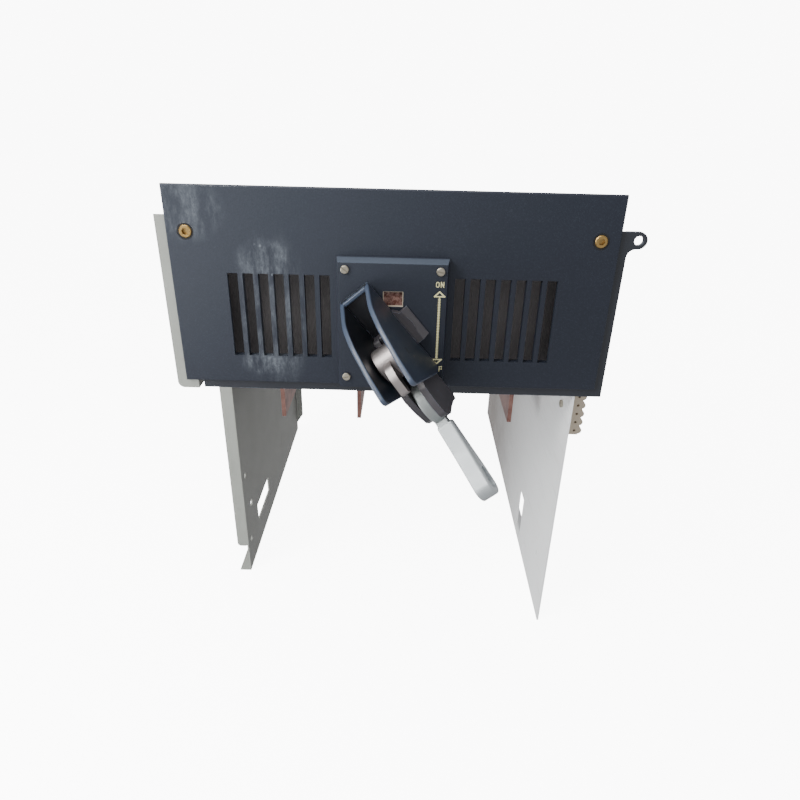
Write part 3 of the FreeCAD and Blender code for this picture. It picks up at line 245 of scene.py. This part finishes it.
def hood_scuffs_and_painted_light(look, base):
    """Painted shade in the hollow and on the flanks, scuffs on the flanks and steel-blue painted highlights on the
    rims, laid over the hood's paint.

    The rims are told from the flanks by the way the surface faces, which is right at rest only:
    when the handle turns, the outer parts of the flanks take the rims' painted highlight.
    """
    hollow_shade_black, flank_shade_black = srgb(16, 15, 17), srgb(24, 24, 27)
    scuff_grey, rim_highlight_blue = srgb(120, 112, 112), srgb(62, 73, 91)
    across = abs(handle_axis(look, latch_axis))
    along = handle_axis(look, (latch_axis[2], 0.0, -latch_axis[0]))
    out = handle_axis(look, (0.0, -1.0, 0.0))
    level = abs(look.dot(look.normal(), latch_axis))
    side_wall = across.ramp(14.5 * mm, 15.1 * mm)
    end_wall = along.ramp(-58.5 * mm, -59.5 * mm)
    rim = level.ramp(0.97, 0.8) * out.ramp(29 * mm, 31 * mm) * side_wall.most(end_wall)
    hollow_shade = across.ramp(19.2 * mm, 16.8 * mm) * (1.0 - rim)
    # painted shade: the hollow is painted near black
    base = look.mix(hollow_shade * 0.85 * along.ramp(40 * mm, -5 * mm), base, hollow_shade_black)
    flank = across.ramp(19.5 * mm, 20.2 * mm) * (1.0 - rim)
    scuff = look.noise(0.006, 6.0, 0.8, (1, 1, 0.4), 6.0).ramp(0.56, 0.72) * flank
    # painted shade: the flanks are painted darker, most near the hub; the scuffs below are wear
    base = look.mix(flank * 0.5 * out.ramp(140 * mm, 30 * mm), base, flank_shade_black)
    base = look.mix(scuff * 0.28, base, scuff_grey)
    # painted highlight: the rims are painted steel blue, with a patchy sheen
    shine = 0.5 + look.noise(0.014, 3.0, 0.6, shift=8.0) * 0.6
    return look.mix(rim * shine, base, rim_highlight_blue)


def metal_paint(name, light, dark, rough, hood=False):
    """Semi-gloss paint on metal: slight orange peel, rubbed edges partly painted steel blue as painted highlights,
    and the hood's scuffs, painted shade and painted highlights.
    """
    rub_highlight_blue = srgb(142, 160, 180)
    look = Look(name, Specular_IOR_Level=0.5)
    broad = look.noise(0.05, 3.0)
    base = look.mix(broad, dark, light)
    if hood:
        base = hood_scuffs_and_painted_light(look, base)
    # rubbed edges, partly painted highlight: patchy steel-blue colour on edges stands in for light on them
    rub_and_highlight = look.edge_wear_and_highlight(1.1 * mm) * look.noise(0.006, 4.0, 0.7).ramp(0.42, 0.62)
    base = look.mix(rub_and_highlight * 0.5, base, rub_highlight_blue)
    look.feed("Base Color", base)
    look.feed("Roughness", rough + broad * 0.12 + rub_and_highlight * 0.1)
    look.bump(look.noise(0.0016, 3.0, 0.6), 0.12, 0.3 * mm)
    return look.material


def coated_sheet(name, light, dark, grime, darkening=0.0):
    """Plated sheet steel: soft blotches, fine rolling lines, rubs and a few stains.

    Faces that look toward +X are painted darker, as painted shade. The darkening toward the rear, if any, is
    painted shade that grows from behind the cover to the rear.
    """
    line_grey, stain_brown, mark_grey = srgb(120, 122, 116), srgb(112, 106, 94), srgb(140, 140, 136)
    plus_x_shade_grey, rear_shade_brown = srgb(96, 96, 92), srgb(122, 112, 104)
    look = Look(name, Metallic=0.15, Specular_IOR_Level=0.45)
    blotch = look.noise(0.06, 4.0, 0.6)
    rolling = look.noise(0.004, 3.0, 0.6, (1, 0.06, 1))
    base = look.mix(blotch, dark, light)
    base = look.mix(rolling.ramp(0.5, 0.8) * 0.16, base, line_grey)
    stain = look.noise(0.028, 5.0, 0.7, shift=4.0).ramp(0.6, 0.78) * grime
    base = look.mix(stain, base, stain_brown)
    marks = look.noise(0.009, 6.0, 0.8, (1, 0.35, 1), 9.0).ramp(0.66, 0.72) * 0.3
    base = look.mix(marks, base, mark_grey)
    # painted shade: faces that look toward +X are painted darker
    plus_x_shade = look.dot(look.normal(), (1, 0, 0)).ramp(0.5, 0.9)
    base = look.mix(plus_x_shade * 0.8, base, plus_x_shade_grey)
    # painted shade: darker toward the rear, in soft clouds
    depth = look.axis("Y").ramp(cover_low[1] + 120 * mm, cover_low[1] + 620 * mm)
    rear_shade = depth * (0.7 + look.noise(0.09, 4.0, 0.6, shift=7.0) * 0.6)
    base = look.mix((rear_shade * darkening).least(1.0), base, rear_shade_brown)
    look.feed("Base Color", base)
    look.feed("Roughness", 0.42 + blotch * 0.16 + stain * 0.2)
    look.bump(rolling * 0.5 + look.noise(0.0009, 2.0) * 0.5, 0.1, 0.2 * mm)
    return look.material


def bare_metal(name, light, dark, rough, grain=(1, 1, 1), metallic=1.0, darkening=None):
    """Bare metal with fine machining lines and patchy tarnish."""
    look = Look(name, Metallic=metallic)
    patch = look.noise(0.012, 4.0, 0.65)
    lines = look.noise(0.0007, 3.0, 0.6, grain)
    base = look.mix(patch, dark, light)
    if darkening:
        base = look.mix(look.noise(0.02, 5.0, 0.7, shift=2.0).ramp(0.45, 0.7) * 0.7, base, darkening)
    look.feed("Base Color", base)
    look.feed("Roughness", rough + patch * 0.14 + lines * 0.08)
    look.bump(lines, 0.15, 0.00015)
    return look.material


def cast_metal(name, light, dark, rough):
    """Sand-cast metal: pebbled skin with soft mottling, darker round the lever's pivot from grease and painted
    shade.
    """
    pebble_white, grease_shade_olive = srgb(222, 228, 228), srgb(112, 116, 108)
    look = Look(name, Metallic=0.75)
    mottle = look.noise(0.014, 4.0, 0.6)
    pebble = look.noise(0.0009, 3.0, 0.7)
    base = look.mix(mottle, dark, light)
    base = look.mix(pebble.ramp(0.5, 0.85) * 0.3, base, pebble_white)
    # grease and painted shade: darker and olive round the lever's pivot, under the hood
    reach = look.node("ShaderNodeVectorMath", {"operation": "DISTANCE"},
                      {0: look.place, 1: lever_pivot}, "Value")
    grease_and_shade = reach.ramp(36 * mm, 20 * mm) * (0.55 + look.noise(0.008, 4.0, 0.7, shift=3.0) * 0.6)
    base = look.mix(grease_and_shade.least(1.0) * 0.8, base, grease_shade_olive)
    look.feed("Base Color", base)
    look.feed("Roughness", rough + mottle * 0.1)
    look.bump(pebble * 0.7 + look.noise(0.003, 3.0) * 0.3, 0.35, 0.4 * mm)
    return look.material


def moulded(name, light, dark, rough, grain_size=0.0008, grain=0.15):
    """Plain moulded plastic or board with faint colour drift and a fine skin."""
    look = Look(name, Specular_IOR_Level=0.4)
    drift = look.noise(0.03, 4.0, 0.6)
    skin = look.noise(grain_size, 3.0)
    base = look.mix(drift, dark, light)
    base = look.mix(skin.ramp(0.5, 0.8) * 0.2, base, light)
    look.feed("Base Color", base)
    look.feed("Roughness", rough + drift * 0.12)
    look.bump(skin, grain, 0.0003)
    return look.material


def indicator_colours():
    """Disc behind the window: red-brown in one half and green in the other, with a pale line between."""
    line_offset = 14.5 * mm       # the line's left edge, right of the handle's pivot
    line_width = 1.6 * mm
    line_cream = srgb(216, 208, 190)
    look = Look("indicator_colours", Roughness=0.4)
    side = look.axis("X") - (hub_point[0] + line_offset) + look.noise(0.01) * 0.0005
    blot = look.noise(0.006, 4.0, 0.7).ramp(0.4, 0.62)
    red = look.mix(blot, srgb(112, 66, 56), srgb(176, 142, 132))
    green = look.mix(look.noise(0.004, 4.0), srgb(52, 96, 62), srgb(74, 120, 82))
    beyond = look.mix(side.ramp(line_width, line_width + 0.4 * mm), line_cream, green)
    look.feed("Base Color", look.mix(side.ramp(-0.2 * mm, 0.2 * mm), red, beyond))
    return look.material


looks = {
    "zinc_sheet": coated_sheet("zinc_sheet", srgb(160, 163, 157), srgb(138, 141, 135), 0.35),
    # zinc_sheet_pale is the same plated sheet as zinc_sheet, painted nearly white as painted light where the key
    # light falls
    "zinc_sheet_pale": coated_sheet("zinc_sheet_pale", srgb(250, 252, 252), srgb(242, 245, 245), 0.06, 0.85),
    "navy_moulding": navy_moulding(),
    "navy_metal": metal_paint("navy_metal", srgb(36, 40, 48), srgb(27, 30, 37), 0.34),
    "black_casting": metal_paint("black_casting", srgb(74, 71, 75), srgb(46, 45, 49), 0.36),
    "black_insulation": moulded("black_insulation", srgb(104, 100, 100), srgb(88, 85, 86), 0.5),
    "brown_insulation": moulded("brown_insulation", srgb(84, 52, 40), srgb(62, 38, 30), 0.35),
    "copper": bare_metal("copper", srgb(156, 122, 112), srgb(118, 84, 77), 0.36, (1, 1, 0.08),
                         0.75, srgb(92, 56, 51)),
    "brass": bare_metal("brass", srgb(190, 160, 106), srgb(150, 122, 72), 0.28, darkening=srgb(110, 88, 52)),
    "bright_steel": bare_metal("bright_steel", srgb(172, 166, 164), srgb(136, 130, 129), 0.32, (1, 0.1, 1)),
    "zinc_bolt": bare_metal("zinc_bolt", srgb(190, 184, 168), srgb(150, 144, 130), 0.34),
    "cast_aluminium": cast_metal("cast_aluminium", srgb(188, 193, 195), srgb(166, 172, 174), 0.42),
    "cream_nylon": moulded("cream_nylon", srgb(212, 199, 178), srgb(192, 179, 157), 0.45),
    "pale_ink": moulded("pale_ink", srgb(226, 222, 176), srgb(206, 200, 150), 0.5),
    "indicator_colour": indicator_colours(),
    "black_rubber": moulded("black_rubber", srgb(30, 30, 32), srgb(20, 20, 22), 0.6),
}

# every CAD node takes the look of its material slot
slot_of = {part["node"]: part["material_slot"] for part in frame["record"]["subparts"]}
for name, obj in frame["nodes"].items():
    obj.data.materials.clear()
    obj.data.materials.append(looks[slot_of[name]])

# the hood has a paint of its own, and both pins are painted over
hood_paint = metal_paint("hood_paint", srgb(46, 55, 70), srgb(36, 43, 55), 0.3, hood=True)
frame["nodes"]["handle_hood"].data.materials[0] = hood_paint
frame["nodes"]["latch_pin"].data.materials[0] = looks["navy_metal"]
frame["nodes"]["lever_pin"].data.materials[0] = looks["black_casting"]


# ---------------------------------------------------------------- studio
def make_floor():
    """Large pale floor under the feet, turned up into a backdrop far away on all four sides.

    It glows so that it shows nearly white, but it neither lights the object nor is mirrored in it.
    """
    reach = 12.0             # metres from the middle to each wall, and up to the walls' top
    glow = 9.0
    pale, paler = (0.88, 0.88, 0.88, 1), (0.92, 0.92, 0.92, 1)
    rim = [(-reach, -reach), (reach, -reach), (reach, reach), (-reach, reach)]
    corners = [(x, y, z) for z in (0.0, reach) for x, y in rim]
    mesh = bpy.data.meshes.new("studio_floor")
    walls = [(i, i + 4, (i + 1) % 4 + 4, (i + 1) % 4) for i in range(4)]
    mesh.from_pydata(corners, [], [(0, 1, 2, 3)] + walls)
    floor = bpy.data.objects.new("studio_floor", mesh)
    bpy.context.scene.collection.objects.link(floor)
    look = Look("studio_floor", Roughness=0.9, Emission_Color=(1, 1, 1, 1), Emission_Strength=glow)
    look.feed("Base Color", look.mix(look.noise(1.5, 2.0), pale, paler))
    mesh.materials.append(look.material)
    floor.visible_diffuse = False
    floor.visible_glossy = False


def make_light(name, place, target, size, power, colour=(1, 1, 1)):
    """Square soft light at a place, facing a target."""
    data = bpy.data.lights.new(name, "AREA")
    data.shape = "SQUARE"
    data.size = size
    data.energy = power
    data.color = colour
    lamp = bpy.data.objects.new(name, data)
    bpy.context.scene.collection.objects.link(lamp)
    lamp.location = place
    lamp.rotation_euler = (Vector(target) - Vector(place)).to_track_quat("-Z", "Y").to_euler()


def make_studio():
    """Pale surroundings, a key light from the upper left, and weak lights overhead and low at the left."""
    sky, sky_strength = (0.98, 0.98, 1.0, 1), 0.8
    middle = (0.0, -0.2, 0.4)
    right_plate = (0.23, -0.2, 0.2)
    world = bpy.data.worlds.new("studio")
    world.use_nodes = True
    background = world.node_tree.nodes["Background"]
    background.inputs["Color"].default_value = sky
    background.inputs["Strength"].default_value = sky_strength
    bpy.context.scene.world = world
    make_light("key", (-1.2, -1.25, 1.6), middle, size=0.9, power=42.0, colour=(1.0, 0.99, 0.97))
    make_light("top", (-0.2, -0.5, 1.9), middle, size=0.8, power=10.0)
    make_light("low", (-1.0, -1.0, 0.25), right_plate, size=0.6, power=10.0)


def make_camera():
    """Camera in front of the cover, a little above its top, looking down at it."""
    lens = 28.10
    offset = Vector((14.5, -692.3, 325.4)) * mm      # from the middle of the cover's lower front edge
    turn = math.radians(0.20)
    pitch = math.radians(26.51)
    roll = math.radians(1.43)
    data = bpy.data.cameras.new("camera")
    data.lens = lens
    data.sensor_width = 36.0
    camera = bpy.data.objects.new("camera", data)
    bpy.context.scene.collection.objects.link(camera)
    aim = Matrix.Rotation(turn, 4, "Z") @ Matrix.Rotation(math.pi / 2 - pitch, 4, "X")
    aim = aim @ Matrix.Rotation(roll, 4, "Z")
    edge = Vector(((cover_low[0] + cover_high[0]) / 2, cover_low[1], cover_low[2]))
    camera.matrix_world = Matrix.Translation(edge + offset) @ aim
    bpy.context.scene.camera = camera


make_camera()
make_floor()
make_studio()
